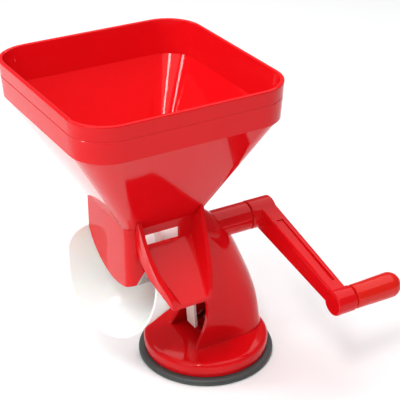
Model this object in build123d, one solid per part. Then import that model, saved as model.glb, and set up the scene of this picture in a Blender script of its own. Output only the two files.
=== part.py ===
from build123d import *
import os
from math import asin, atan2, cos, degrees, hypot, radians, sin, tan

os.makedirs("parts", exist_ok=True)

# Hand-cranked tomato strainer, millimetres. The origin is the centre of the suction foot on the
# table, +X points along the drive shaft to the crank, -Y to the user's side with the skin chute.

# ---- Driving dimensions ----
fit = 0.05               # radial clearance of a shaft in its bore
gap = 0.3                # free space between pieces that move or lift apart

base_r = 56.2            # round base of the stand
base_h = 9.7
base_wall = 4.0
base_edge = 4.5          # rounding of the base's top edge
ring_h = 4.3             # clamping ring between foot and base
ring_step = 0.9          # how far the ring sits inside the base's edge
ring_width = 9.2
foot_reach = 4.8         # rubber suction foot beyond the base
foot_h = 6.0
foot_skin = 2.4          # thickness of the rubber diaphragm
foot_pad_r = 14.0        # pad under the stem
foot_pad_slope = 4.0
foot_hollow = 1.2        # height of the diaphragm above the table

axis_z = 126.0           # height of the drive shaft
shaft_r = 5.0
shaft_flats = 8.0        # hexagon that drives the rotor
shaft_square = 7.0       # square that takes the crank
boss_r = 12.8            # tube of the column that carries the shaft
boss_end_x = 40.0
bush_r = 8.0
bush_flange_r = 10.0
bush_flange = 1.0
bush_len = 14.0

column_wall = 3.5
column_top_low = 90.0    # lower edge of the plate that closes the column against the housing
seal_r = 9.0
screw_r = 1.6
screw_head_r = 3.0
screw_head_h = 2.0
base_screw_head_r = 2.2
base_screw_bite = 5.0    # length in the base
housing_screw_y = 8.5    # places of the housing's screws around the shaft
housing_screw_low, housing_screw_high = 20.5, 13.5

housing_x0, housing_x1 = -94.0, -23.0      # left end wall and column side, outside
housing_y0, housing_y1 = -37.0, 38.0       # front and back walls, outside
housing_top = 165.0
housing_wall = 3.0
housing_end_wall = 4.0
housing_corner = 8.0
housing_back_corner = 1.5                  # sharp upright edge at the back left
shield_bottom = 108.0    # lowest point of the rounded left end wall
front_wall_bottom = 124.0
back_wall_bottom = 126.0

slot_x0, slot_x1 = -78.0, -46.7            # skin discharge slot in the front wall
slot_z0, slot_z1 = 147.0, 158.0

sieve_r = 31.4           # outside of the perforated sheet
sieve_sheet = 0.8
sieve_x0, sieve_x1 = -80.0, -28.5
sieve_flange = 1.8
sieve_rise = 5.3         # height of the sheet's upright sides above the shaft
sieve_plate = 1.2
sieve_hole_r = 1.5
sieve_rows, sieve_columns = 11, 9
sieve_row_angle = 14.0

rotor_clear = 0.9        # blade tip to sieve
rotor_core_r = 15.0
rotor_pitch = 24.0
blade = 3.0
journal_r = 4.0

hopper_x, hopper_y = -61.2, 0.7            # centre of the rim
rim_length, rim_width = 181.0, 185.4       # along X and Y, outside
rim_top = 286.5
rim_band = 30.5
rim_corner = 32.0
rim_draft = 2.0
band_step = 1.0
hopper_wall = 3.0
throat_corner = 9.0
spigot_h = 5.0
spigot_wall = 2.0

chute_x = -58.5          # middle of the skin chute
chute_lip_y = -78.5
chute_lip_z = 111.3
chute_wall = 3.0
chute_depth = 22.0       # height of the side walls over the floor at which their width is given
chute_left_edge, chute_right_edge = 6.0, 1.5         # bevels between the floor and the side walls
chute_ys = (-55.0, -68.0)                            # stations between the housing and the lip
chute_floor_left = (26.5, 25.5, 20.6, 16.5)          # floor half widths, housing to lip
chute_floor_right = (24.0, 20.5, 18.0, 16.0)
chute_top_half = (27.5, 26.7, 25.6, 20.0)            # half widths at the wall tops
chute_start_y = -43.0                                # where the wall tops leave the funnel
chute_crown_1, chute_crown_2, chute_crown_3 = (-55.0, 152.5), (-68.0, 133.0), (-75.5, 122.5)
chute_nose = 3.0         # height of the lip's rounded ends over the floor

tray_y = -4.3            # middle plane of the juice tray
tray_half = 46.5
tray_depth = 54.0        # half height of its elliptical bottom, square to its slope
tray_wall = 1.8
tray_slope = 26.0
tray_mid_x, tray_mid_z = -60.0, 123.0
tray_right = -23.5
tray_mouth_x, tray_mouth_skew = -96.0, 0.4
tray_front_top, tray_back_top = 129.0, 134.0
tray_lip = 2.0
tray_rail = 1.6          # thickness of the housing's rails under the lips
rail_inset_back, rail_inset_front = 1.0, 2.0

crank_drop = 21.5        # angle of the arm below the horizontal
crank_y, crank_z = -104.0, 85.0            # axis of the grip
hub_r = 13.0
hub_len = 24.7
arm_channel, arm_channel_depth = 6.0, 1.8  # groove along the arm's upper face
arm_offset = 14.0        # outward lean of the arm, clears the base
arm_width, arm_height = 17.0, 23.0
arm_end_width, arm_end_height = 15.0, 17.0
arm_edge = 2.5
grip_hub_r = 11.2
grip_hub_len = 19.0
grip_r, grip_end_r = 10.6, 11.4
grip_len = 49.5
grip_pin_r = 3.0
grip_pin_root = 4.0      # closed end of the pin's hole in the arm
grip_pin_head, grip_pin_head_len = 1.4, 2.5

stem_r = 4.0
stem_head_r, stem_head_h = 10.0, 2.0
stem_eye_t = 5.0
pivot_z = 29.0           # lever pin
pin_r = 2.0
guide_r = 7.0
guide_flange_r, guide_flange = 8.5, 1.5
guide_depth = 8.0
stem_flat = 12.5         # length of the flat below the pin
lever_width = 10.6       # over the fork's cheeks
lever_lift = 3.0         # how far the cam raises the stem
lever_turn = 70.0
tongue_half = 7.2        # half width of the finger tongue
tongue_t = 2.6
tongue_x, tongue_z = -15.0, 29.5           # lower outer edge of the tongue
tongue_top_x, tongue_top_z = -16.9, 56.0
lever_arm_low, lever_arm_high = -3.5, 6.0  # arm from the hub to the tongue, about the pin
lever_arm_gap = 2.5      # the arm starts this far behind the eye

# ---- Worked-out places ----
ring_r = base_r - ring_step
ring_inner_r = ring_r - ring_width
foot_r = base_r + foot_reach
ring_top = foot_h + ring_h
base_top = ring_top + base_h
hub_x0 = boss_end_x + bush_flange + gap
hub_x1 = hub_x0 + hub_len
sieve_in = sieve_r - sieve_sheet
rotor_r = sieve_in - rotor_clear
rotor_x0 = sieve_x0 + sieve_plate + 1.3
rotor_x1 = sieve_x1 - sieve_plate - 1.3
band_bottom = rim_top - rim_band
throat_x = (housing_x0 + housing_x1) / 2
throat_y = (housing_y0 + housing_y1) / 2
throat_len = housing_x1 - housing_x0
throat_wid = housing_y1 - housing_y0
front_inner = housing_y0 + housing_wall
back_inner = housing_y1 - housing_wall
left_inner = housing_x0 + housing_wall
right_inner = housing_x1 - housing_end_wall
grip_hub_x = hub_x1 - arm_width / 2 + arm_offset       # middle of the grip's hub on the arm
grip_x0 = grip_hub_x + grip_hub_len / 2 + 1.5
rail_end_x = right_inner - 8
funnel_lean = (rim_width / 2 - hopper_y - rim_draft - band_step + housing_y0) / (band_bottom - housing_top)


def block(x0, x1, y0, y1, z0, z1):
    return Pos((x0 + x1) / 2, (y0 + y1) / 2, (z0 + z1) / 2) * Box(x1 - x0, y1 - y0, z1 - z0)


def rod_x(radius, x0, x1, y=0.0, z=axis_z):
    return Pos((x0 + x1) / 2, y, z) * Rot(0, 90, 0) * Cylinder(radius, x1 - x0)


def rod_y(radius, y0, y1, x, z):
    return Pos(x, (y0 + y1) / 2, z) * Rot(90, 0, 0) * Cylinder(radius, y1 - y0)


def rod_z(radius, z0, z1, x=0.0, y=0.0):
    return Pos(x, y, (z0 + z1) / 2) * Cylinder(radius, z1 - z0)


def prism_x(face, x0, x1):
    """A sketch drawn as (Y, Z), made solid from x0 to x1."""
    return extrude(Plane((x0, 0, 0), x_dir=(0, 1, 0), z_dir=(1, 0, 0)) * face, x1 - x0)


def prism_y(face, y0, y1):
    """A sketch drawn as (X, Z), made solid from y0 to y1."""
    return extrude(Plane((0, y1, 0), x_dir=(1, 0, 0), z_dir=(0, -1, 0)) * face, y1 - y0)


def turned(points):
    """A closed (radius, Z) outline turned about Z."""
    return revolve(Plane.XZ * make_face(Polyline(*points, close=True)), Axis.Z)


def rounded_face(length, width, corner, back_left=None):
    """A rounded rectangle whose corner at -X, +Y may have a radius of its own."""
    left = corner if back_left is None else back_left
    x, y = length / 2, width / 2
    k = 1 - cos(radians(45))
    outline = [Line((-x + corner, -y), (x - corner, -y)),
               ThreePointArc((x - corner, -y), (x - k * corner, -y + k * corner), (x, -y + corner)),
               Line((x, -y + corner), (x, y - corner)),
               ThreePointArc((x, y - corner), (x - k * corner, y - k * corner), (x - corner, y)),
               Line((x - corner, y), (-x + left, y)),
               ThreePointArc((-x + left, y), (-x + k * left, y - k * left), (-x, y - left)),
               Line((-x, y - left), (-x, -y + corner)),
               ThreePointArc((-x, -y + corner), (-x + k * corner, -y + k * corner), (-x + corner, -y))]
    return make_face(outline)


def frustum(low, high):
    """Rounded rectangles (z, x, y, length, width, corner, back left corner) joined by straight walls."""
    faces = [Pos(x, y, z) * rounded_face(length, width, corner, back_left)
             for z, x, y, length, width, corner, back_left in (low, high)]
    return loft(faces, ruled=True)


# ---- Suction foot and base ----
def make_suction_foot():
    # Flat where it meets the table: a centre pad and the outer rim, with a shallow channel between.
    rim_in = ring_inner_r + 4
    skin_top = foot_hollow + foot_skin
    return turned([(0, 0), (foot_pad_r, 0), (foot_pad_r + foot_pad_slope, foot_hollow),
                   (ring_inner_r, foot_hollow), (rim_in, 0), (foot_r - 2, 0),
                   (foot_r, 2), (foot_r, foot_h - 1.5), (foot_r - 1.5, foot_h),
                   (ring_inner_r - 2, foot_h), (ring_inner_r - 4, skin_top), (0, skin_top)])


def base_screw_spots():
    return PolarLocations((base_r + base_r - base_wall - 1) / 2, 4, 45)


def make_base_ring():
    ring = rod_z(ring_r, foot_h, ring_top) - rod_z(ring_inner_r, foot_h, ring_top)
    for spot in base_screw_spots():
        ring -= spot * rod_z(screw_r + fit, foot_h, ring_top)
        ring -= spot * rod_z(base_screw_head_r + fit, foot_h, foot_h + screw_head_h)
    return ring


def make_base_screws():
    screws = []
    for spot in base_screw_spots():
        head = rod_z(base_screw_head_r, foot_h + 0.2, foot_h + screw_head_h)
        screws.append(spot * (head + rod_z(screw_r, foot_h + screw_head_h, ring_top + base_screw_bite)))
    return Compound(screws)


# Column sections from the base up to the housing: inner edge (x, z), crest (x, z), half width.
column_line = [
    (-25.0, base_top - 4, base_r - 1.0, base_top - 4, 27.5),
    (-21.0, base_top + 5, base_r - 2.8, base_top + 4, 24.5),
    (-13.5, 40.0, 51.0, 40.0, 23.0),
    (-11.5, 60.0, 43.5, 68.0, 22.5),
    (-15.0, 77.0, 31.0, 98.0, 22.0),
    (-19.5, 87.0, 15.5, 127.0, 21.0),
    (-22.0, 90.0, -4.0, 145.5, 20.5),
    (housing_x1, 91.0, housing_x1, 153.5, 20.0),
]


def column_section(inner_x, inner_z, crest_x, crest_z, half, inset, mouth):
    """A D-shaped section: straight sides and a half-round crest."""
    length = hypot(crest_x - inner_x, crest_z - inner_z)
    along = ((crest_x - inner_x) / length, 0, (crest_z - inner_z) / length)
    plane = Plane((inner_x, 0, inner_z), x_dir=along, z_dir=(-along[2], 0, along[0]))
    w = half - inset
    u0, u1 = -mouth, length - half
    outline = [Line((u0, -w), (u1, -w)), ThreePointArc((u1, -w), (u1 + w, 0), (u1, w)),
               Line((u1, w), (u0, w)), Line((u0, w), (u0, -w))]
    return plane * make_face(outline)


def column_loft(inset, mouth):
    return loft([column_section(*station, inset, mouth) for station in column_line])


def housing_screw_spots():
    return [(side * housing_screw_y, axis_z + rise) for side in (-1, 1)
            for rise in (-housing_screw_low, housing_screw_high)]


def make_stand():
    base = rod_z(base_r, ring_top, base_top)
    base = fillet(base.edges().group_by(Axis.Z)[-1], base_edge)
    base -= rod_z(base_r - base_wall - 1, ring_top, base_top - base_wall)
    base += rod_z(guide_r + 5, base_top - guide_depth, base_top)
    outer = column_loft(0, 0)
    shell = outer - column_loft(column_wall, 10)
    top_plate = outer & block(housing_x1, housing_x1 + column_wall, housing_y0, housing_y1, column_top_low, rim_top)
    hollow_floor = rod_z(base_r - base_wall - 1, ring_top, base_top - base_wall)
    stand = base + (shell - hollow_floor - rod_z(base_r - 6, base_top - base_wall, base_top))
    stand += top_plate + rod_x(boss_r, housing_x1, boss_end_x)
    stand -= rod_x(bush_r + fit, housing_x1, boss_end_x)
    stand -= rod_z(guide_r + fit, ring_top, base_top)
    for y, z in housing_screw_spots():
        stand -= rod_x(screw_r + fit, housing_x1, housing_x1 + column_wall, y, z)
    for spot in base_screw_spots():
        stand -= spot * rod_z(screw_r + fit, ring_top, ring_top + base_screw_bite + fit)
    return stand


def make_housing_screws():
    screws = []
    seat = housing_x1 + column_wall
    for y, z in housing_screw_spots():
        shank = rod_x(screw_r, housing_x1 - housing_end_wall + 1, seat, y, z)
        screws.append(shank + rod_x(screw_head_r, seat, seat + screw_head_h, y, z))
    return Compound(screws)


# ---- Suction stem and its cam lever ----
def make_stem_guide():
    guide = rod_z(guide_r, base_top - guide_depth, base_top) + rod_z(guide_flange_r, base_top, base_top + guide_flange)
    return guide - rod_z(stem_r + fit, base_top - guide_depth, base_top + guide_flange)


def make_suction_stem():
    bottom = 1.2 + foot_skin
    flat_from = pivot_z - stem_flat
    stem = rod_z(stem_head_r, bottom, bottom + stem_head_h) + rod_z(stem_r, bottom, flat_from)
    eye = block(-stem_r + 1, stem_r - 1, -stem_eye_t / 2, stem_eye_t / 2, flat_from - 1, pivot_z)
    eye += rod_y(stem_r - 0.5, -stem_eye_t / 2, stem_eye_t / 2, 0, pivot_z)
    return stem + eye - rod_y(pin_r + fit, -stem_eye_t, stem_eye_t, 0, pivot_z)


def make_lever_pin():
    end = lever_width / 2 + 0.8
    head = rod_y(pin_r + 1, -end - 0.8, -lever_width / 2 - 0.2, 0, pivot_z)
    return rod_y(pin_r, -lever_width / 2 - 0.2, end, 0, pivot_z) + head


def make_suction_lever():
    # The round cam sits off the pin, so turning the lever in raises the stem by lever_lift.
    throw = lever_lift / (2 * sin(radians(lever_turn / 2)))
    cam_x = throw * cos(radians(lever_turn / 2))
    cam_z = pivot_z + lever_lift / 2
    cam_r = cam_z - base_top - guide_flange - gap
    tongue = make_face(Polyline((tongue_x, tongue_z), (tongue_top_x, tongue_top_z - 1),
                                (tongue_top_x + 0.6, tongue_top_z), (tongue_top_x + tongue_t - 0.4, tongue_top_z),
                                (tongue_top_x + tongue_t, tongue_top_z - 1), (tongue_x + tongue_t, tongue_z + 2),
                                close=True))
    arm = make_face(Polyline((tongue_x + 1, tongue_z + 0.5), (0, pivot_z + lever_arm_low),
                             (0, pivot_z + lever_arm_high), (tongue_x + 1, tongue_z + lever_arm_high + 2),
                             close=True))
    half = lever_width / 2
    lever = prism_y(tongue, -tongue_half, tongue_half) + prism_y(arm, -half, half)
    lever += rod_y(cam_r, -half, half, cam_x, cam_z)
    fork = stem_eye_t / 2 + gap
    lever -= block(-cam_r + cam_x - lever_arm_gap, cam_x + 2 * cam_r, -fork, fork, cam_z - 2 * cam_r, cam_z + 2 * cam_r)
    return lever - rod_y(pin_r + fit, -half, half, 0, pivot_z)


# ---- Rotor housing ----
def make_rotor_housing():
    shell_face = rounded_face(throat_len, throat_wid, housing_corner, housing_back_corner)
    shell_in = rounded_face(throat_len - 2 * housing_wall, throat_wid - 2 * housing_wall,
                            housing_corner - housing_wall, housing_back_corner - 1)
    low = shield_bottom - 2
    arc_end_z = axis_z + 14
    walls = extrude(Pos(throat_x, throat_y, low) * shell_face, housing_top - low)
    walls -= extrude(Pos(throat_x, throat_y, low) * shell_in, housing_top - low)

    # Lower edge of the left end wall: a long arc that turns up to the straight back edge.
    bottom_arc = ThreePointArc((housing_y0 - 1, shield_bottom + 6), (-7, shield_bottom), (25, shield_bottom + 13))
    back_arc = TangentArc(bottom_arc @ 1, (housing_y1 + 1, arc_end_z), tangent=bottom_arc % 1)
    below = make_face([bottom_arc, back_arc, Line(back_arc @ 1, (rim_width / 2, arc_end_z)),
                       Line((rim_width / 2, arc_end_z), (rim_width / 2, low - 10)),
                       Line((rim_width / 2, low - 10), (housing_y0 - 1, low - 10)),
                       Line((housing_y0 - 1, low - 10), bottom_arc @ 0)])
    walls -= prism_x(below, housing_x0 - 1, left_inner + 8)
    front = Polyline((left_inner + 2, shield_bottom + 3), (left_inner + 11.5, front_wall_bottom),
                     (right_inner + 10, front_wall_bottom), (right_inner + 10, low - 1),
                     (left_inner + 2, low - 1), close=True)
    walls -= prism_y(make_face(front), housing_y0 - 1, throat_y)
    walls -= block(left_inner, housing_x1 + 1, throat_y, housing_y1 + 1, low - 1, back_wall_bottom)

    # Right end wall: closes the chamber beside the column and reaches below the sieve.
    wall_r = sieve_r + 3
    end_wall = block(right_inner, housing_x1, housing_y0 + 2, housing_y1 - 2, axis_z, housing_top)
    end_wall += rod_x(wall_r, right_inner, housing_x1) & block(right_inner, housing_x1, -50, 50, 50, axis_z)
    housing = walls + end_wall
    housing -= rod_x(seal_r + fit, right_inner, housing_x1)
    for y, z in housing_screw_spots():
        housing -= rod_x(screw_r + fit, right_inner + 1 - fit, housing_x1, y, z)

    # Bearing boss on the left end wall.
    housing += rod_x(journal_r + 6, housing_x0 + 1, left_inner + 6)
    housing -= rod_x(journal_r + 3 + fit, left_inner - 1, left_inner + 6)

    # Ledges that carry the sieve, rails that carry the tray.
    ledge_z = axis_z + sieve_rise - gap
    for wall_y, tip_y in ((front_inner, -sieve_r - gap), (back_inner, sieve_r + gap)):
        y0, y1 = sorted((wall_y, tip_y))
        housing += block(sieve_x0, right_inner, y0, y1, ledge_z - 2.5, ledge_z)
    tray_in = tray_half - tray_wall
    rail_top = tray_back_top - tray_lip - gap
    housing += block(left_inner + 4, rail_end_x, housing_y1 - 1, tray_y + tray_in - rail_inset_back,
                     rail_top - tray_rail, rail_top)
    rail_top = tray_front_top - tray_lip - gap
    housing += block(slot_x0 + 2, rail_end_x, tray_y - tray_in + rail_inset_front, housing_y0 + 1,
                     rail_top - tray_rail, rail_top)
    housing -= block(slot_x0, slot_x1, housing_y0 - 1, front_inner + 1, slot_z0, slot_z1)
    return housing


# ---- Hopper ----
def make_hopper():
    step = rim_draft + band_step
    band = frustum((band_bottom, hopper_x, hopper_y, rim_length - 2 * rim_draft,
                    rim_width - 2 * rim_draft, rim_corner - rim_draft, None),
                   (rim_top, hopper_x, hopper_y, rim_length, rim_width, rim_corner, None))
    funnel = frustum((housing_top, throat_x, throat_y, throat_len, throat_wid, throat_corner, housing_back_corner),
                     (band_bottom, hopper_x, hopper_y, rim_length - 2 * step, rim_width - 2 * step,
                      rim_corner - step, None))
    spigot_len = throat_len - housing_wall - housing_end_wall - 2 * gap
    spigot_wid = throat_wid - 2 * housing_wall - 2 * gap
    spigot_x = (left_inner + right_inner) / 2
    spigot = extrude(Pos(spigot_x, throat_y, housing_top - spigot_h)
                     * rounded_face(spigot_len, spigot_wid, housing_corner - housing_wall), spigot_h + 1)
    bore_len, bore_wid = spigot_len - 2 * spigot_wall, spigot_wid - 2 * spigot_wall
    bore_corner = housing_corner - housing_wall - 1
    inner_len = rim_length - 2 * (step + hopper_wall)
    inner_wid = rim_width - 2 * (step + hopper_wall)
    inner_corner = rim_corner - step - hopper_wall
    inside = frustum((housing_top, spigot_x, throat_y, bore_len, bore_wid, bore_corner, None),
                     (band_bottom, hopper_x, hopper_y, inner_len, inner_wid, inner_corner, None))
    grow = 2 * (step - 0.5)
    inside += frustum((band_bottom, hopper_x, hopper_y, inner_len, inner_wid, inner_corner, None),
                      (rim_top + 0.01, hopper_x, hopper_y, inner_len + grow, inner_wid + grow,
                       inner_corner + step - 0.5, None))
    inside += extrude(Pos(spigot_x, throat_y, housing_top - spigot_h)
                      * rounded_face(bore_len, bore_wid, bore_corner), spigot_h + 0.01)
    return band + funnel + spigot - inside


# ---- Skin chute ----
# Stations along the chute: y, half widths of the floor to the left and right, half width at the tops.
chute_line = list(zip((housing_y0, *chute_ys, chute_lip_y), chute_floor_left, chute_floor_right, chute_top_half))


def chute_floor_z(y):
    return chute_lip_z + (slot_z0 - chute_lip_z) * (y - chute_lip_y) / (housing_y0 - chute_lip_y)


def chute_loft(floor_drop, inset, rise, end, left_edge, right_edge):
    """Trough sections along Y, from the housing wall to the lip, bevelled where the walls meet the floor."""
    sections = []
    for y, left_half, right_half, top_half in chute_line:
        if y == chute_lip_y:
            y -= end
        low = chute_floor_z(y) - floor_drop
        high = low + floor_drop + rise
        left, right = left_half - inset, right_half - inset
        left_top = left + (top_half - left_half) * rise / chute_depth
        right_top = right + (top_half - right_half) * rise / chute_depth
        outline = Polyline((chute_x - left + left_edge, low), (chute_x + right - right_edge, low),
                           (chute_x + right, low + right_edge), (chute_x + right_top, high),
                           (chute_x - left_top, high), (chute_x - left, low + left_edge), close=True)
        sections.append(Plane((0, y, 0), x_dir=(1, 0, 0), z_dir=(0, -1, 0)) * make_face(outline))
    return loft(sections, ruled=True)


def make_skin_chute():
    body = chute_loft(chute_wall, -chute_wall / 2, 2 * chute_depth, 0, 0.8, 0.8)
    body -= chute_loft(0, chute_wall / 2, 3 * chute_depth, 1, chute_left_edge, chute_right_edge)
    # Side view: the wall tops fall from the funnel in a long curve and round down to the lip.
    top_z = housing_top + (housing_y0 - chute_start_y) / funnel_lean
    crown = Spline((chute_start_y, top_z), chute_crown_1, chute_crown_2, chute_crown_3)
    nose = TangentArc(crown @ 1, (chute_lip_y, chute_lip_z + chute_nose), tangent=crown % 1)
    front_y, side = chute_lip_y - 9, 2 * chute_top_half[0]
    above = make_face([crown, nose, Line(nose @ 1, (front_y, chute_lip_z + chute_nose)),
                       Line((front_y, chute_lip_z + chute_nose), (front_y, rim_top)),
                       Line((front_y, rim_top), (chute_start_y, rim_top)),
                       Line((chute_start_y, rim_top), (chute_start_y, top_z))])
    body -= prism_x(above, chute_x - side, chute_x + side)
    clear = gap * hypot(1, funnel_lean)
    low_y, lean_z = housing_y0 - clear, band_bottom
    funnel = Polyline((low_y, housing_top - 0.5), (low_y - (lean_z - housing_top) * funnel_lean, lean_z),
                      (throat_y, lean_z), (throat_y, housing_top - 0.5), close=True)
    return body - prism_x(make_face(funnel), chute_x - side, chute_x + side)


# ---- Sieve ----
def sieve_outline(radius, top):
    side = Line((-radius, top), (-radius, axis_z))
    bowl = ThreePointArc((-radius, axis_z), (0, axis_z - radius), (radius, axis_z))
    return [side, bowl, Line((radius, axis_z), (radius, top)), Line((radius, top), (-radius, top))]


def make_sieve():
    top = axis_z + sieve_rise
    sheet = prism_x(make_face(sieve_outline(sieve_r, top + sieve_sheet)), sieve_x0, sieve_x1)
    for side in (-1, 1):
        y0, y1 = sorted((side * (sieve_r - 0.1), side * (sieve_r + sieve_flange)))
        sheet += block(sieve_x0, sieve_x1, y0, y1, top, top + sieve_sheet)
    sheet -= prism_x(make_face(sieve_outline(sieve_in, top + sieve_sheet)), sieve_x0, sieve_x1)
    hole = extrude(Pos(0, 0, -sieve_r - 2) * RegularPolygon(sieve_hole_r, 6), 6)
    pitch = (sieve_x1 - sieve_x0 - 8) / (sieve_columns - 0.5)
    holes = []
    for row in range(sieve_rows):
        turn = (row - (sieve_rows - 1) / 2) * sieve_row_angle
        for column in range(sieve_columns):
            x = sieve_x0 + 4 + (column + (0.5 if row % 2 else 0.0) + 0.25) * pitch
            holes.append(Pos(x, 0, axis_z) * Rot(turn, 0, 0) * hole)
    return sheet.cut(*holes)


def make_sieve_end(x0):
    top = axis_z + sieve_rise
    plate = prism_x(make_face(sieve_outline(sieve_in - fit, top)), x0, x0 + sieve_plate)
    notch = shaft_r + 3
    plate -= rod_x(notch, x0, x0 + sieve_plate)
    return plate - block(x0, x0 + sieve_plate, -notch, notch, axis_z, top)


# ---- Rotor and drive shaft ----
def make_rotor():
    core = rod_x(rotor_core_r, rotor_x0, rotor_x1) + rod_x(journal_r, left_inner, rotor_x0)
    mid_r = (rotor_core_r - 2 + rotor_r) / 2
    start_x = rotor_x0 + blade / 2 + 0.5
    run = rotor_x1 - rotor_x0 - blade - 1
    line = Helix(rotor_pitch, run, mid_r, center=(start_x, 0, axis_z), direction=(1, 0, 0), lefthand=True)
    start = line @ 0
    radial = Vector(0, start.Y, start.Z - axis_z)
    section = Plane(start, x_dir=radial, z_dir=line % 0) * Rectangle(rotor_r - rotor_core_r + 2, blade)
    flight = sweep(section, path=line, is_frenet=True)
    rotor = core + flight
    socket = prism_x(Pos(0, axis_z) * RegularPolygon(shaft_flats / 2 + fit, 6, major_radius=False),
                     rotor_x0 + 4, rotor_x1)
    return rotor - socket


def make_drive_shaft():
    hexagon = Pos(0, axis_z) * RegularPolygon(shaft_flats / 2, 6, major_radius=False)
    square = Pos(0, axis_z) * Rectangle(shaft_square, shaft_square)
    shaft = prism_x(hexagon, rotor_x0 + 4.5, rotor_x1 + 0.5)
    shaft += rod_x(shaft_r, rotor_x1 + 0.5, hub_x0)
    shaft += prism_x(square, hub_x0, hub_x1 - 6)
    return shaft - rod_x(2.5 + fit, hub_x0 + 4, hub_x1 - 6)


def make_bush(x0, flange_x=None):
    bush = rod_x(bush_r, x0, x0 + bush_len)
    if flange_x is not None:
        bush += rod_x(bush_flange_r, flange_x, flange_x + bush_flange)
    return bush - rod_x(shaft_r + fit, x0, x0 + bush_len + bush_flange)


def make_shaft_seal():
    seal = rod_x(seal_r, right_inner, housing_x1)
    return seal - rod_x(shaft_r + fit, right_inner, housing_x1)


def make_retaining_clip():
    return rod_x(bush_r - 0.6, housing_x1 + 0.5, housing_x1 + 2) - rod_x(shaft_r + fit, housing_x1, housing_x1 + 3)


def make_rotor_bush():
    bush = rod_x(journal_r + 3, left_inner - 0.8, left_inner + 6)
    return bush - rod_x(journal_r + fit, left_inner - 0.2, left_inner + 6)


# ---- Crank ----
def make_crank_arm():
    drop = radians(crank_drop)
    down = (0, -cos(drop), -sin(drop))
    hub_x = hub_x1 - arm_width / 2
    reach = hypot(crank_y, crank_z - axis_z)
    near, far = 4.0, reach - 4
    sections = []
    for step, width, height in ((near, arm_width, arm_height), (far, arm_end_width, arm_end_height)):
        spot = (hub_x + arm_offset * step / reach, down[1] * step, axis_z + down[2] * step)
        sections.append(Plane(spot, x_dir=(1, 0, 0), z_dir=down) * Rectangle(width, height))
    bar = loft(sections, ruled=True)
    bar = fillet(bar.edges().sort_by(SortBy.LENGTH)[-4:], arm_edge)
    channel = []
    for step, height in ((hub_r + 9, arm_height), (reach - grip_hub_r - 5, arm_end_height)):
        spot = (hub_x + arm_offset * step / reach, down[1] * step, axis_z + down[2] * step)
        section = Pos(0, -height / 2) * Rectangle(arm_channel, 2 * arm_channel_depth)
        channel.append(Plane(spot, x_dir=(1, 0, 0), z_dir=down) * section)
    bar -= loft(channel, ruled=True)
    hub = rod_x(hub_r, hub_x0, hub_x1)
    hub = fillet(hub.edges().filter_by(GeomType.CIRCLE), 1.5)
    grip_hub = rod_x(grip_hub_r, grip_hub_x - grip_hub_len / 2, grip_hub_x + grip_hub_len / 2, crank_y, crank_z)
    grip_hub = fillet(grip_hub.edges().filter_by(GeomType.CIRCLE), 1.5)
    arm = bar + hub + grip_hub
    socket = Pos(0, axis_z) * Rectangle(shaft_square + 2 * fit, shaft_square + 2 * fit)
    arm -= prism_x(socket, hub_x0, hub_x1 - 6 + fit)
    arm -= rod_x(2.5 + fit, hub_x1 - 7, hub_x1) + rod_x(6, hub_x1 - 4.5, hub_x1)
    pin_x = grip_hub_x - grip_hub_len / 2 + grip_pin_root
    return arm - rod_x(grip_pin_r + fit, pin_x - fit, grip_hub_x + grip_hub_len, crank_y, crank_z)


def make_crank_washer():
    return rod_x(5.5, hub_x1 - 4.5, hub_x1 - 3.5) - rod_x(2.5 + fit, hub_x1 - 4.5, hub_x1 - 3.5)


def make_crank_screw():
    screw = rod_x(2.5, hub_x0 + 6, hub_x1 - 3.5) + rod_x(4.5, hub_x1 - 3.5, hub_x1 - 0.7)
    return screw - block(hub_x1 - 1.9, hub_x1, -0.6, 0.6, axis_z - 5, axis_z + 5)


def make_grip():
    tip = grip_x0 + grip_len
    dome = tip - grip_end_r
    outline = [Line((grip_x0, 0), (grip_x0, grip_r - 1)), Line((grip_x0, grip_r - 1), (grip_x0 + 1, grip_r)),
               Line((grip_x0 + 1, grip_r), (dome, grip_end_r)),
               CenterArc((dome, 0), grip_end_r, 0, 90), Line((tip, 0), (grip_x0, 0))]
    grip = Pos(0, crank_y, crank_z) * revolve(Plane.XZ * make_face(outline), Axis.X)
    head_x = tip - grip_end_r + 1
    grip -= rod_x(grip_pin_r + fit, grip_x0, head_x, crank_y, crank_z)
    return grip - rod_x(grip_pin_r + grip_pin_head + fit, head_x - grip_pin_head_len - 2 * fit, head_x + fit,
                        crank_y, crank_z)


def make_grip_pin():
    head_x = grip_x0 + grip_len - grip_end_r + 1
    pin = rod_x(grip_pin_r, grip_hub_x - grip_hub_len / 2 + grip_pin_root, head_x, crank_y, crank_z)
    return pin + rod_x(grip_pin_r + grip_pin_head, head_x - grip_pin_head_len, head_x - fit, crank_y, crank_z)


def make_grip_washer():
    x0 = grip_hub_x + grip_hub_len / 2
    return rod_x(7, x0, x0 + 1.2, crank_y, crank_z) - rod_x(grip_pin_r + fit, x0, x0 + 1.2, crank_y, crank_z)


# ---- Juice tray ----
def tray_section(x, inset):
    """Upright section of the trough: an elliptical bottom under straight sides."""
    half = tray_half - inset
    depth = (tray_depth - inset) / cos(radians(tray_slope))
    mid = tray_mid_z + (x - tray_mid_x) * tan(radians(tray_slope))
    bowl = Pos(tray_y, mid) * Ellipse(half, depth) & Pos(tray_y, mid - depth / 2) * Rectangle(2 * half, depth)
    sides = Pos(tray_y, mid + tray_depth) * Rectangle(2 * half, 2 * tray_depth)
    return Plane((x, 0, 0), x_dir=(0, 1, 0), z_dir=(1, 0, 0)) * (bowl + sides)


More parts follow.
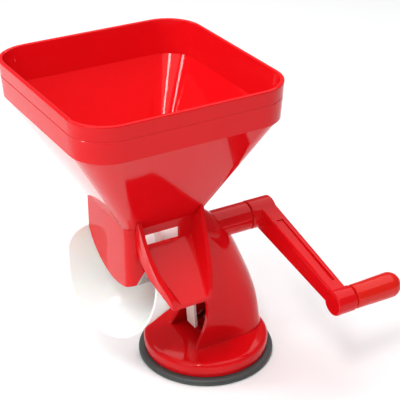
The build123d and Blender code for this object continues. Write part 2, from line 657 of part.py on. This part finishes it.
def make_juice_tray():
    slope = radians(tray_slope)
    down = (-cos(slope), 0, -sin(slope))
    reach = tray_right - tray_mouth_x + 2 * tray_half * tray_mouth_skew
    spare = tray_mouth_skew * tray_half
    start = tray_right + 6
    outer = extrude(tray_section(start, 0), reach + spare, dir=down)
    inner = extrude(tray_section(start + 5, tray_wall), reach + 2 * spare, dir=down)
    tray = outer - inner
    low_y, high_y, sky = tray_y - 2 * tray_half, tray_y + 2 * tray_half, 2 * tray_back_top
    end_wall = inner & block(tray_right - 2, tray_right, low_y, high_y, 0, axis_z - sieve_r - 3 - gap - 1.5)
    tray -= block(tray_right, tray_right + tray_half, low_y, high_y, 0, sky)
    tray += end_wall
    back_edge = tray_y + tray_half
    front_edge = tray_y - tray_half
    for y0, y1, top in ((tray_y, back_edge + 5, tray_back_top), (front_edge - 5, tray_y, tray_front_top)):
        tray -= block(tray_right - 2 * reach, tray_right + 1, y0, y1, top, sky)
    # Slanted mouth, its two upper corners rounded.
    skew = degrees(atan2(tray_mouth_skew, 1))
    cut = 2 * reach
    tray -= Pos(tray_mouth_x, 0, axis_z) * Rot(0, 0, skew) * Pos(-cut / 2, 0, 0) * Box(cut, 2 * cut, 2 * cut)
    for edge, top, corner, out in ((back_edge, tray_back_top, 20.0, 1), (front_edge, tray_front_top, 8.0, -1)):
        mouth = tray_mouth_x - tray_mouth_skew * edge
        y0, y1 = sorted((edge - out * 4, edge + out * 2))
        notch = block(mouth - 5, mouth + corner, y0, y1, top - corner, top + 1)
        tray -= notch - rod_y(corner, y0, y1, mouth + corner, top - corner)
    # Inward lips that hang on the housing's rails.
    tray += block(left_inner + 6, tray_right, housing_y1 + 0.4, back_edge - 1, tray_back_top - tray_lip, tray_back_top)
    tray += block(slot_x0 + 10, tray_right, front_edge + 1, front_edge + tray_wall + rail_inset_front + 1.5,
                  tray_front_top - tray_lip, tray_front_top)
    return tray


pieces = {
    "suction_foot": make_suction_foot(),
    "base_ring": make_base_ring(),
    "base_screws": make_base_screws(),
    "stand": make_stand(),
    "stem_guide": make_stem_guide(),
    "suction_stem": make_suction_stem(),
    "lever_pin": make_lever_pin(),
    "suction_lever": make_suction_lever(),
    "rotor_housing": make_rotor_housing(),
    "housing_screws": make_housing_screws(),
    "hopper": make_hopper(),
    "skin_chute": make_skin_chute(),
    "sieve": make_sieve(),
    "sieve_end_left": make_sieve_end(sieve_x0),
    "sieve_end_right": make_sieve_end(sieve_x1 - sieve_plate),
    "rotor": make_rotor(),
    "drive_shaft": make_drive_shaft(),
    "column_bush": make_bush(housing_x1 + 3),
    "boss_bush": make_bush(boss_end_x - bush_len, boss_end_x),
    "shaft_seal": make_shaft_seal(),
    "retaining_clip": make_retaining_clip(),
    "rotor_bush": make_rotor_bush(),
    "crank_arm": make_crank_arm(),
    "crank_washer": make_crank_washer(),
    "crank_screw": make_crank_screw(),
    "grip": make_grip(),
    "grip_pin": make_grip_pin(),
    "grip_washer": make_grip_washer(),
    "juice_tray": make_juice_tray(),
}

for name, piece in pieces.items():
    export_step(piece, f"parts/{name}.step")
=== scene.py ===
from math import cos, pi, radians, sin

import bmesh
import bpy
from mathutils import Matrix, Vector


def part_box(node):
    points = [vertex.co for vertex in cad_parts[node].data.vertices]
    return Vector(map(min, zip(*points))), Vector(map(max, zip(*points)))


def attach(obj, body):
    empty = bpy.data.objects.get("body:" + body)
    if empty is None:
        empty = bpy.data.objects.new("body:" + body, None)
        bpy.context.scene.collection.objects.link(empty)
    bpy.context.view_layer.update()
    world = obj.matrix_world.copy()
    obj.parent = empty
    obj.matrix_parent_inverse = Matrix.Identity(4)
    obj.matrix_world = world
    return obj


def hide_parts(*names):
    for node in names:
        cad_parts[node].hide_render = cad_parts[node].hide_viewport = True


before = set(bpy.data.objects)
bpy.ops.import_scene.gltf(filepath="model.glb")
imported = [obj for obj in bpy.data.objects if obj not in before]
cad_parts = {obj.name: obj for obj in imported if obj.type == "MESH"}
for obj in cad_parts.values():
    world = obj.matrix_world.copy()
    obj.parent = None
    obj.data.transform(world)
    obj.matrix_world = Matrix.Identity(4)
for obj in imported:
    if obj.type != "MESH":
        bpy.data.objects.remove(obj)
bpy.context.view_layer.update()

# ---- Camera ----
# A long lens at the user's front left, looking down on the strainer.
camera = bpy.data.objects.new("camera", bpy.data.cameras.new("camera"))
bpy.context.scene.collection.objects.link(camera)
bpy.context.scene.camera = camera
camera.data.sensor_width = 36.0
camera.data.lens = 107.8
camera.data.clip_end = 20.0
camera_azimuth, camera_elevation = radians(-30.1), radians(28.1)
camera_place = Vector((-0.4583, -0.7804, 0.6355))
forward = Vector((-sin(camera_azimuth) * cos(camera_elevation),
                  cos(camera_azimuth) * cos(camera_elevation),
                  -sin(camera_elevation)))
right = Vector((cos(camera_azimuth), sin(camera_azimuth), 0.0))
upward = right.cross(forward)
turn = Matrix((right, upward, -forward)).transposed().to_4x4()
camera.matrix_world = Matrix.Translation(camera_place) @ turn

# ---- Studio ----
# White paper under the strainer, one wide light bank overhead and three small boxes whose
# reflections draw the bright lines on the glossy mouldings. The room around is dim.
bpy.context.scene.view_settings.view_transform = "Standard"
room = bpy.data.worlds.new("dim_room")
bpy.context.scene.world = room
room.use_nodes = True
room_nodes, room_links = room.node_tree.nodes, room.node_tree.links
dim_air = room_nodes["Background"]
dim_air.inputs["Color"].default_value = (0.97, 0.98, 1.0, 1.0)
dim_air.inputs["Strength"].default_value = 0.22
backdrop = room_nodes.new("ShaderNodeBackground")
backdrop.inputs["Color"].default_value = (1.0, 1.0, 1.0, 1.0)
seen = room_nodes.new("ShaderNodeLightPath")
room_mix = room_nodes.new("ShaderNodeMixShader")
room_links.new(seen.outputs["Is Camera Ray"], room_mix.inputs[0])
room_links.new(dim_air.outputs[0], room_mix.inputs[1])
room_links.new(backdrop.outputs[0], room_mix.inputs[2])
room_links.new(room_mix.outputs[0], room_nodes["World Output"].inputs["Surface"])

paper_shape = bmesh.new()
bmesh.ops.create_grid(paper_shape, x_segments=1, y_segments=1, size=6.0)
paper = bpy.data.objects.new("paper", bpy.data.meshes.new("paper"))
paper_shape.to_mesh(paper.data)
paper_shape.free()
bpy.context.scene.collection.objects.link(paper)
paper_white = bpy.data.materials.new("paper_white")
paper_white.use_nodes = True
paper_nodes, paper_links = paper_white.node_tree.nodes, paper_white.node_tree.links
paper_shader = paper_nodes["Principled BSDF"]
paper_shader.inputs["Roughness"].default_value = 0.7
paper_place = paper_nodes.new("ShaderNodeTexCoord")
paper_fibre = paper_nodes.new("ShaderNodeTexNoise")
paper_fibre.inputs["Scale"].default_value = 9.0
paper_tint = paper_nodes.new("ShaderNodeMix")
paper_tint.data_type = "RGBA"
paper_tint.inputs[6].default_value = (0.95, 0.95, 0.95, 1.0)
paper_tint.inputs[7].default_value = (0.93, 0.93, 0.935, 1.0)
paper_links.new(paper_place.outputs["Object"], paper_fibre.inputs["Vector"])
paper_links.new(paper_fibre.outputs["Fac"], paper_tint.inputs["Factor"])
paper_links.new(paper_tint.outputs[2], paper_shader.inputs["Base Color"])
paper.data.materials.append(paper_white)


def light_box(name, place, aim, size, power):
    lamp = bpy.data.lights.new(name, "AREA")
    lamp.shape = "RECTANGLE"
    lamp.size, lamp.size_y = size
    lamp.energy = power
    box = bpy.data.objects.new(name, lamp)
    bpy.context.scene.collection.objects.link(box)
    box.location = place
    box.rotation_euler = (Vector(aim) - Vector(place)).to_track_quat("-Z", "Y").to_euler()


light_box("overhead_bank", (0.0, 0.3, 1.9), (0.0, 0.3, 0.0), (3.4, 3.4), 56.0)
light_box("left_box", (-1.6, -0.7, 0.9), (-0.06, 0.0, 0.12), (1.0, 0.9), 4.0)
light_box("front_strip", (-0.56, -0.54, 1.24), (0.0, 0.07, 0.24), (0.14, 0.50), 6.5)
light_box("back_strip", (-0.93, 0.26, 1.12), (0.01, 0.065, 0.24), (0.14, 0.50), 5.0)


# ---- Suction foot ----
# A turned disc of dark grey rubber, bonded to the stem in its middle. Its rim grips the table and
# stands out under the base like a flange, with a thin moulding line around it.
def moulded_group():
    """Two close shades in soft flow marks, a varied gloss and a slight ripple of the surface."""
    group = bpy.data.node_groups.new("moulded_surface", "ShaderNodeTree")
    for name, way, kind in (("Color", "INPUT", "Color"), ("Shade", "INPUT", "Color"),
                            ("Gloss", "INPUT", "Float"), ("Spread", "INPUT", "Float"),
                            ("Ripple", "INPUT", "Float"), ("Grain", "INPUT", "Float"),
                            ("Color", "OUTPUT", "Color"), ("Roughness", "OUTPUT", "Float"),
                            ("Normal", "OUTPUT", "Vector")):
        group.interface.new_socket(name=name, in_out=way, socket_type="NodeSocket" + kind)
    nodes, links = group.nodes, group.links
    given, result = nodes.new("NodeGroupInput"), nodes.new("NodeGroupOutput")
    place = nodes.new("ShaderNodeTexCoord")
    noises = []
    for scale, detail in ((13.0, 3.0), (85.0, 4.0), (0.0, 1.5)):
        noise = nodes.new("ShaderNodeTexNoise")
        noise.inputs["Detail"].default_value = detail
        links.new(place.outputs["Object"], noise.inputs["Vector"])
        if scale:
            noise.inputs["Scale"].default_value = scale
        else:
            links.new(given.outputs["Grain"], noise.inputs["Scale"])
        noises.append(noise)
    flow, wear, ripple = noises
    tint = nodes.new("ShaderNodeMix")
    tint.data_type = "RGBA"
    links.new(flow.outputs["Fac"], tint.inputs["Factor"])
    links.new(given.outputs["Color"], tint.inputs[6])
    links.new(given.outputs["Shade"], tint.inputs[7])
    links.new(tint.outputs[2], result.inputs["Color"])
    rough = nodes.new("ShaderNodeMath")
    rough.operation = "MULTIPLY_ADD"
    links.new(wear.outputs["Fac"], rough.inputs[0])
    links.new(given.outputs["Spread"], rough.inputs[1])
    links.new(given.outputs["Gloss"], rough.inputs[2])
    links.new(rough.outputs[0], result.inputs["Roughness"])
    bump = nodes.new("ShaderNodeBump")
    bump.inputs["Distance"].default_value = 0.0003
    links.new(given.outputs["Ripple"], bump.inputs["Strength"])
    links.new(ripple.outputs["Fac"], bump.inputs["Height"])
    links.new(bump.outputs["Normal"], result.inputs["Normal"])
    return group


moulded_surface = moulded_group()


def moulded(name, color, shade, gloss, spread, ripple, grain=50.0, **sockets):
    """A material of the moulded surface group, with its fixed values on the shader itself."""
    made = bpy.data.materials.new(name)
    made.use_nodes = True
    nodes, links = made.node_tree.nodes, made.node_tree.links
    shader = nodes["Principled BSDF"]
    surface = nodes.new("ShaderNodeGroup")
    surface.node_tree = moulded_surface
    surface.inputs["Color"].default_value = (*color, 1.0)
    surface.inputs["Shade"].default_value = (*shade, 1.0)
    for socket, value in (("Gloss", gloss), ("Spread", spread),
                          ("Ripple", ripple), ("Grain", grain)):
        surface.inputs[socket].default_value = value
    links.new(surface.outputs["Color"], shader.inputs["Base Color"])
    links.new(surface.outputs["Roughness"], shader.inputs["Roughness"])
    links.new(surface.outputs["Normal"], shader.inputs["Normal"])
    for socket, value in sockets.items():
        shader.inputs[socket.replace("_", " ")].default_value = value
    return made


def keep(name, shape, material, body, node, crease=32.0):
    """Makes a finished mesh a piece of the strainer, with its material and body, and hides its
    node.
    """
    for face in shape.faces:
        face.smooth = True
    for edge in shape.edges:
        edge.smooth = len(edge.link_faces) == 2 and edge.calc_face_angle(0) < radians(crease)
    mesh = bpy.data.meshes.new(name)
    shape.to_mesh(mesh)
    shape.free()
    mesh.materials.append(material)
    piece = bpy.data.objects.new(name, mesh)
    bpy.context.scene.collection.objects.link(piece)
    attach(piece, body)
    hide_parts(node)
    return piece


merge_gap = 0.00001


def spun(outline, axis, centre, steps):
    """A closed body turned from an outline of (radius, height) points along the axis."""
    shape = bmesh.new()
    along = Vector(axis)
    across = Vector((0.0, 1.0, 0.0)) if along.x else Vector((1.0, 0.0, 0.0))
    points = [shape.verts.new(Vector(centre) + across * radius + along * height)
              for radius, height in outline]
    lines = [shape.edges.new(pair) for pair in zip(points, points[1:])]
    bmesh.ops.spin(shape, geom=points + lines, cent=centre, axis=along, angle=2 * pi, steps=steps,
                   use_merge=True)
    bmesh.ops.remove_doubles(shape, verts=shape.verts, dist=merge_gap)
    bmesh.ops.recalc_face_normals(shape, faces=shape.faces)
    return shape


foot_rubber = moulded("foot_rubber", (0.045, 0.052, 0.050), (0.065, 0.073, 0.070),
                      0.36, 0.16, 0.35, 220.0)
foot_low, foot_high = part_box("suction_foot")
foot_r = (foot_high[0] - foot_low[0]) / 2
foot_h = foot_high[2]
foot_web = 0.0036
cup = 0.0012
foot_centre, cup_start, cup_end, sole_r = 0.014, 0.018, 0.046, 0.050
seat_r, seat_slope = 0.0440, 0.0020
line_low, line_depth = 0.0030, 0.0004
foot_outline = [(0.0, 0.0), (foot_centre, 0.0), (cup_start, cup), (cup_end, cup), (sole_r, 0.0),
                (foot_r - 0.0022, 0.0), (foot_r - 0.0007, 0.0006), (foot_r, 0.0019),
                (foot_r, line_low), (foot_r - line_depth, (line_low + foot_web) / 2),
                (foot_r, foot_web), (foot_r - 0.0002, foot_h - 0.0016),
                (foot_r - 0.0007, foot_h - 0.0005), (foot_r - 0.0018, foot_h),
                (seat_r, foot_h), (seat_r - seat_slope, foot_web), (0.0, foot_web)]
turns = 120
keep("suction_foot_piece", spun(foot_outline, (0, 0, 1), (0.0, 0.0, 0.0), turns), foot_rubber,
     "frame", "suction_foot", 60.0)


# ---- Clamping ring and its screws ----
# A red ring that holds the rubber's edge up against the base. Four steel screws with flat heads go
# through it from below into the base.
def dressed(node, material, body, radius=0.0004, crease=32.0):
    """A merged copy of a node's own surface, its edges rounded as the real piece's are."""
    shape = bmesh.new()
    shape.from_mesh(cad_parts[node].data)
    bmesh.ops.remove_doubles(shape, verts=shape.verts, dist=merge_gap)
    bmesh.ops.dissolve_limit(shape, angle_limit=radians(0.3), verts=shape.verts,
                             edges=shape.edges)
    piece = keep(node + "_piece", shape, material, body, node, crease)
    if radius:
        rounding = piece.modifiers.new("edge_radius", "BEVEL")
        rounding.width = radius
        rounding.segments = 2
        rounding.limit_method = "ANGLE"
        rounding.angle_limit = radians(crease + 3.0)
        rounding.harden_normals = True
    return piece


def reworked(piece, change):
    """Lets a function change the finished mesh of a piece."""
    shape = bmesh.new()
    shape.from_mesh(piece.data)
    change(shape)
    shape.to_mesh(piece.data)
    shape.free()


red_gloss = moulded("red_gloss", (0.74, 0.0045, 0.008), (0.66, 0.004, 0.007),
                    0.035, 0.05, 0.05, 40.0, Specular_IOR_Level=0.22)
zinc_steel = moulded("zinc_steel", (0.62, 0.62, 0.61), (0.54, 0.54, 0.55),
                     0.22, 0.16, 0.10, 300.0, Metallic=1.0)
ring_low, ring_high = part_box("base_ring")
ring_r = (ring_high[0] - ring_low[0]) / 2
ring_bore_r, ring_low_edge, ring_top_edge = 0.0461, 0.0006, 0.0005
ring_outline = [(ring_bore_r, ring_low[2]), (ring_r - ring_low_edge, ring_low[2]),
                (ring_r, ring_low[2] + ring_low_edge), (ring_r, ring_high[2] - ring_top_edge),
                (ring_r - ring_top_edge, ring_high[2]), (ring_bore_r, ring_high[2]),
                (ring_bore_r, ring_low[2])]
keep("base_ring_piece", spun(ring_outline, (0, 0, 1), (0.0, 0.0, 0.0), turns), red_gloss,
     "frame", "base_ring", 40.0)
# The screws stand slightly nearer the middle than in the solid, so their heads stay in the ring.
inwards = 0.972
screws_piece = dressed("base_screws", zinc_steel, "frame", 0.0002)
reworked(screws_piece, lambda shape: bmesh.ops.scale(
    shape, vec=(inwards, inwards, 1.0), verts=shape.verts))

# ---- Stand ----
# One red moulding: a round base, a hollow column with a half-round back that leans over to the
# housing, and the tube for the drive shaft near its top. It is open towards the tray.
dressed("stand", red_gloss, "frame", 0.0007, 28.0)

# ---- Stem guide, stem, pin and lever ----
# The foot's steel stem runs in a flanged plastic guide in the base. A pale lever with a round cam
# and a flat finger tongue turns on a pin through the stem's eye and pulls the stem up.
cream_and_painted_shade = moulded("cream_and_painted_shade", (0.80, 0.72, 0.68), (0.74, 0.66, 0.62),
                         0.24, 0.10, 0.10)
turned_steel = moulded("turned_steel", (0.66, 0.66, 0.67), (0.58, 0.58, 0.60),
                       0.16, 0.12, 0.08, 400.0, Metallic=1.0)
dressed("stem_guide", red_gloss, "frame", 0.0003)
dressed("suction_stem", turned_steel, "stem", 0.0002)
dressed("lever_pin", turned_steel, "stem", 0.0002)
# The lever is pale. Its cam and arms behind the tongue are painted dark red as painted shade, for
# the shade that falls on them inside the hollow column.
tongue_x, tongue_blend = -0.0120, 0.0001
lever_nodes, lever_links = cream_and_painted_shade.node_tree.nodes, cream_and_painted_shade.node_tree.links
lever_place = lever_nodes.new("ShaderNodeTexCoord")
lever_split = lever_nodes.new("ShaderNodeSeparateXYZ")
painted_shade_mask = lever_nodes.new("ShaderNodeMapRange")
painted_shade_mask.inputs["From Min"].default_value = tongue_x - tongue_blend
painted_shade_mask.inputs["From Max"].default_value = tongue_x + tongue_blend
painted_shade_tint = lever_nodes.new("ShaderNodeMix")
painted_shade_tint.data_type = "RGBA"
# Painted shade: a dark red on the lever's part behind the tongue, where the column shades it.
painted_shade_tint.inputs[7].default_value = (0.30, 0.006, 0.006, 1.0)
lever_links.new(lever_place.outputs["Object"], lever_split.inputs[0])
lever_links.new(lever_split.outputs["X"], painted_shade_mask.inputs["Value"])
lever_links.new(painted_shade_mask.outputs[0], painted_shade_tint.inputs["Factor"])
lever_surface = next(node for node in lever_nodes if node.type == "GROUP")
lever_shader = lever_nodes["Principled BSDF"]
lever_links.new(lever_surface.outputs["Color"], painted_shade_tint.inputs[6])
lever_links.new(painted_shade_tint.outputs[2], lever_shader.inputs["Base Color"])
dressed("suction_lever", cream_and_painted_shade, "lever", 0.0005)

# ---- Rotor housing and its screws ----
# A red box without a floor around the sieve. Its left end wall reaches down as a rounded shield;
# a slot in the front wall lets the skins out. Four screws hold it to the column.
dressed("rotor_housing", red_gloss, "frame", 0.0005)
dressed("housing_screws", zinc_steel, "frame", 0.0003)


# ---- Hopper ----
# A red moulding with a thin wall: a square bowl with a straight band around its rim, whose four
# sides slope down to the throat. A fine line runs around the band; a spigot sits in the housing.
def rounded_loop(shape, z, x, y, length, width, corner, back_left=None, parts=9):
    """A closed loop of edges: a rectangle whose corners are bevelled to arcs."""
    before = set(shape.edges)
    place = Matrix.Translation((x, y, z)) @ Matrix.Diagonal((length, width, 1.0, 1.0))
    corners = bmesh.ops.create_grid(shape, x_segments=1, y_segments=1, size=0.5,
                                    matrix=place)["verts"]
    odd = [spot for spot in corners if spot.co.x < x and spot.co.y > y]
    rest = [spot for spot in corners if spot not in odd]
    for spots, radius in ((rest, corner), (odd, corner if back_left is None else back_left)):
        bmesh.ops.bevel(shape, geom=spots, offset=radius, offset_type="OFFSET", segments=parts,
                        profile=0.5, affect="VERTICES", material=-1)
    loop = [edge for edge in shape.edges if edge not in before]
    faces = {face for edge in loop for face in edge.link_faces}
    bmesh.ops.delete(shape, geom=list(faces), context="FACES_ONLY")
    return loop


def between(low, high, share):
    """A loop's numbers at a share of the way from one loop to another."""
    return [a + (b - a) * share for a, b in zip(low, high)]


rim_low, rim_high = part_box("hopper")
rim_x, rim_y = (rim_low[0] + rim_high[0]) / 2, (rim_low[1] + rim_high[1]) / 2
rim_l, rim_w, rim_z = rim_high[0] - rim_low[0], rim_high[1] - rim_low[1], rim_high[2]
spigot_h, band_h, line_down = 0.005, 0.0305, 0.0125
throat_z = rim_low[2] + spigot_h
band_z, line_z = rim_z - band_h, rim_z - line_down
throat_l, throat_w = 0.071, 0.075
throat_x, throat_y = -0.0585, 0.0005
rim_corner = 0.032
draft, step, wall = 0.002, 0.001, 0.003
line_half, line_floor, line_deep = 0.0005, 0.0002, 0.00035
lip_edge, lip_round, lip_t = 0.0011, 0.0003, 0.0035
spigot_t = 0.002
# Loops that would lie at one height are set a hair apart, so that the faces between them hold.
hair = 0.0001
funnel_steps = 5


def band(z, out):
    """A loop of the band at a height, set out from the draft line by a small step."""
    lean = draft * (rim_z - z) / band_h
    return [z, rim_x, rim_y, rim_l - 2 * (lean - out), rim_w - 2 * (lean - out),
            rim_corner - lean + out]


throat_out = [throat_z, throat_x, throat_y, throat_l, throat_w, 0.009, 0.0015]
funnel_out = [band_z + hair / 2, *band(band_z, -step)[1:], rim_corner - draft - step]
throat_in = [throat_z, throat_x - 0.0005, throat_y, throat_l - 0.0116, throat_w - 0.0106,
             0.004, 0.004]
funnel_in = band(band_z, -step - wall) + [rim_corner - draft - step - wall]
levels = [between(throat_out, funnel_out, share / funnel_steps)
          for share in range(funnel_steps + 1)]
levels += [band(band_z, 0.0), band(line_z - line_half, 0.0), band(line_z - line_floor, -line_deep),
           band(line_z + line_floor, -line_deep), band(line_z + line_half, 0.0),
           band(rim_z - lip_edge, 0.0), band(rim_z - lip_round, -lip_round),
           band(rim_z, -lip_edge), band(rim_z - hair / 5, -0.0026),
           band(rim_z - lip_round, -0.0033), band(rim_z - lip_edge, -lip_t)]
levels += [between(funnel_in, throat_in, share / funnel_steps)
           for share in range(funnel_steps + 1)]
spigot_in = [throat_z - spigot_h + hair, *throat_in[1:]]
spigot_out = [throat_z - spigot_h, throat_in[1], throat_y, throat_in[3] + 2 * spigot_t,
              throat_in[4] + 2 * spigot_t, 0.005, 0.005]
levels += [spigot_in, spigot_out, [throat_z - hair, *spigot_out[1:]]]
hopper_shape = bmesh.new()
loops = [rounded_loop(hopper_shape, *level) for level in levels]
for lower, upper in zip(loops, loops[1:] + loops[:1]):
    bmesh.ops.bridge_loops(hopper_shape, edges=lower + upper)
bmesh.ops.recalc_face_normals(hopper_shape, faces=hopper_shape.faces)
keep("hopper_piece", hopper_shape, red_gloss, "hopper", "hopper", 20.0)

# ---- Skin chute ----
# A red trough under the slot, moulded with high side walls that run up along the funnel. It leads
# skins and seeds down to its lip over the tray's front edge.
dressed("skin_chute", red_gloss, "frame", 0.0007)


# ---- Sieve ----
# Perforated stainless sheet bent to a trough around the rotor, with a narrow flange along each top
# edge that lies on the housing's ledges, and a plate at each end.
def fold(run, sieve_r, rise):
    """Place on the trough's section of a point that lies run away from its lowest line."""
    side = -1.0 if run < 0 else 1.0
    run, arc = abs(run), pi / 2 * sieve_r
    if run <= arc:
        return side * sieve_r * sin(run / sieve_r), -sieve_r * cos(run / sieve_r)
    if run <= arc + rise:
        return side * sieve_r, run - arc
    return side * (sieve_r + run - arc - rise), rise


sieve_steel = moulded("sieve_steel", (0.60, 0.60, 0.58), (0.52, 0.52, 0.50),
                      0.24, 0.14, 0.06, 250.0, Metallic=1.0)
sieve_low, sieve_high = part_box("sieve")
shaft_z = 0.126
sieve_r, sheet_t, flange = 0.0314, 0.0008, 0.0018
rise = sieve_high[2] - sheet_t / 2 - shaft_z
columns, rows = 20, 42
plain_end, plain_edge = 0.003, 0.004
web, hole_corner = 0.0005, 0.00042
half_run = pi / 2 * (sieve_r - sheet_t / 2) + rise
sheet = bmesh.new()
middle_x = (sieve_low[0] + sieve_high[0]) / 2
sieve_l = sieve_high[0] - sieve_low[0]
flat = (Matrix.Translation((middle_x, 0.0, 0.0))
        @ Matrix.Diagonal((sieve_l, 2 * half_run, 1, 1)))
bmesh.ops.create_grid(sheet, x_segments=columns, y_segments=rows, size=0.5, matrix=flat)
cells = [face for face in sheet.faces
         if abs(face.calc_center_median().y) < half_run - plain_edge
         and abs(face.calc_center_median().x - middle_x) < sieve_l / 2 - plain_end]
bmesh.ops.inset_individual(sheet, faces=cells, thickness=web, depth=0.0)
hole_spots = list({spot for face in cells for spot in face.verts})
bmesh.ops.bevel(sheet, geom=hole_spots, offset=hole_corner, offset_type="OFFSET", segments=1,
                profile=0.5, affect="VERTICES", material=-1)
holes = [face for face in sheet.faces if len(face.verts) == 8]
bmesh.ops.delete(sheet, geom=holes, context="FACES_ONLY")
edges = [edge for edge in sheet.edges if edge.is_boundary and
         min(abs(spot.co.y) for spot in edge.verts) > half_run - 0.0001]
grown = bmesh.ops.extrude_edge_only(sheet, edges=edges)["geom"]
for spot in grown:
    if isinstance(spot, bmesh.types.BMVert):
        spot.co.y += flange if spot.co.y > 0 else -flange
for spot in sheet.verts:
    across, up = fold(spot.co.y, sieve_r - sheet_t / 2, rise)
    spot.co = (spot.co.x, across, shaft_z + up)
bmesh.ops.recalc_face_normals(sheet, faces=sheet.faces)
sieve_piece = keep("sieve_piece", sheet, sieve_steel, "frame", "sieve", 40.0)
thickness = sieve_piece.modifiers.new("sheet_thickness", "SOLIDIFY")
thickness.thickness = sheet_t
thickness.offset = 0.0
dressed("sieve_end_left", sieve_steel, "frame", 0.0002)
dressed("sieve_end_right", sieve_steel, "frame", 0.0002)

# ---- Rotor and drive shaft ----
# A white rotor with one screw blade presses the tomatoes against the sieve. A turned steel shaft
# with a hexagon drives it, in plastic bushes, with a rubber seal and a clip; it ends in a square.
white_moulding = moulded("white_moulding", (0.95, 0.95, 0.93), (0.92, 0.92, 0.90),
                         0.20, 0.10, 0.08)
seal_rubber = moulded("seal_rubber", (0.030, 0.031, 0.031), (0.045, 0.046, 0.046),
                      0.42, 0.16, 0.25, 260.0)
dressed("rotor", white_moulding, "crank", 0.0005, 38.0)
dressed("drive_shaft", turned_steel, "crank", 0.0003)
dressed("rotor_bush", white_moulding, "frame", 0.0003)
dressed("column_bush", white_moulding, "frame", 0.0003)
dressed("boss_bush", white_moulding, "frame", 0.0003)
dressed("shaft_seal", seal_rubber, "frame", 0.0003)
dressed("retaining_clip", zinc_steel, "crank", 0.0002)

# ---- Crank arm and its screw ----
# A red moulding: a round hub on the shaft's square, a tapered bar that leans outwards with a long
# groove in its upper face, and a short round hub for the grip. A screw and washer hold it.
arm_piece = dressed("crank_arm", red_gloss, "crank", 0.0008)
arm_slope = radians(21.5)
arm_up = Vector((0.0, -sin(arm_slope), cos(arm_slope)))
shaft_line = Matrix.Translation((0.0, 0.0, shaft_z))
over = shaft_line @ Matrix.Scale(-1.0, 4, arm_up) @ shaft_line.inverted()


def turned_over(shape):
    """The arm's copy is mirrored across its own length, which puts the groove on its upper face."""
    bmesh.ops.transform(shape, matrix=over, verts=shape.verts)
    bmesh.ops.reverse_faces(shape, faces=shape.faces)


reworked(arm_piece, turned_over)
dressed("crank_washer", zinc_steel, "crank", 0.0002)
dressed("crank_screw", zinc_steel, "crank", 0.0003)

# ---- Grip ----
# A plain round grip of a slightly softer red, a little thicker towards its domed end. It turns on
# a steel pin that is fixed in the arm, with a thin washer between the two.
red_satin = moulded("red_satin", (0.74, 0.013, 0.006), (0.67, 0.010, 0.005),
                    0.10, 0.08, 0.12, 60.0, Specular_IOR_Level=0.3)
grip_low, grip_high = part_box("grip")
grip_y, grip_z = (grip_low[1] + grip_high[1]) / 2, (grip_low[2] + grip_high[2]) / 2
grip_r, grip_end_r = 0.0106, (grip_high[1] - grip_low[1]) / 2
grip_x = grip_low[0]
taper_x, dome_x = grip_x + 0.0012, grip_high[0] - grip_end_r
recess, recess_r = 0.0005, 0.0035
taper_steps, dome_steps = 6, 12
grip_outline = [(0.0, grip_x + recess), (recess_r, grip_x + recess), (recess_r + 0.0003, grip_x),
                (grip_r - 0.0013, grip_x), (grip_r - 0.0004, grip_x + 0.0004),
                (grip_r, taper_x)]
for part in range(1, taper_steps + 1):
    grip_outline.append((grip_r + (grip_end_r - grip_r) * part / taper_steps,
                         taper_x + (dome_x - taper_x) * part / taper_steps))
for part in range(1, dome_steps):
    angle = pi / 2 * part / dome_steps
    grip_outline.append((grip_end_r * cos(angle), dome_x + grip_end_r * sin(angle)))
grip_outline.append((0.0, grip_high[0]))
grip_turns = 64
keep("grip_piece", spun(grip_outline, (1, 0, 0), (0.0, grip_y, grip_z), grip_turns), red_satin,
     "grip", "grip", 50.0)
dressed("grip_pin", turned_steel, "crank", 0.0003)
dressed("grip_washer", white_moulding, "crank", 0.0002)

# ---- Juice tray ----
# A thin white moulding like half a barrel under the sieve, sloping down to a slanted mouth. Two
# lips along its upper edges hang on the housing's rails, so that it slides off for washing.
white_tray = moulded("white_tray", (0.97, 0.97, 0.955), (0.95, 0.95, 0.935), 0.14, 0.08, 0.06,
                     Subsurface_Weight=0.5, Subsurface_Scale=0.01)
tray_piece = dressed("juice_tray", white_tray, "tray", 0.0005)
corner_place, corner_way = Vector((-0.0300, -0.0508, 0.1270)), Vector((0.5, -0.7, 0.5))


def corner_cut(shape):
    """Cuts the right end of the tray's front lip off at a slant, behind the chute's wall."""
    every = list(shape.verts) + list(shape.edges) + list(shape.faces)
    cut = bmesh.ops.bisect_plane(shape, geom=every, plane_co=corner_place, plane_no=corner_way,
                                 clear_outer=True)["geom_cut"]
    cut_edges = [item for item in cut if isinstance(item, bmesh.types.BMEdge)]
    bmesh.ops.holes_fill(shape, edges=cut_edges)


reworked(tray_piece, corner_cut)
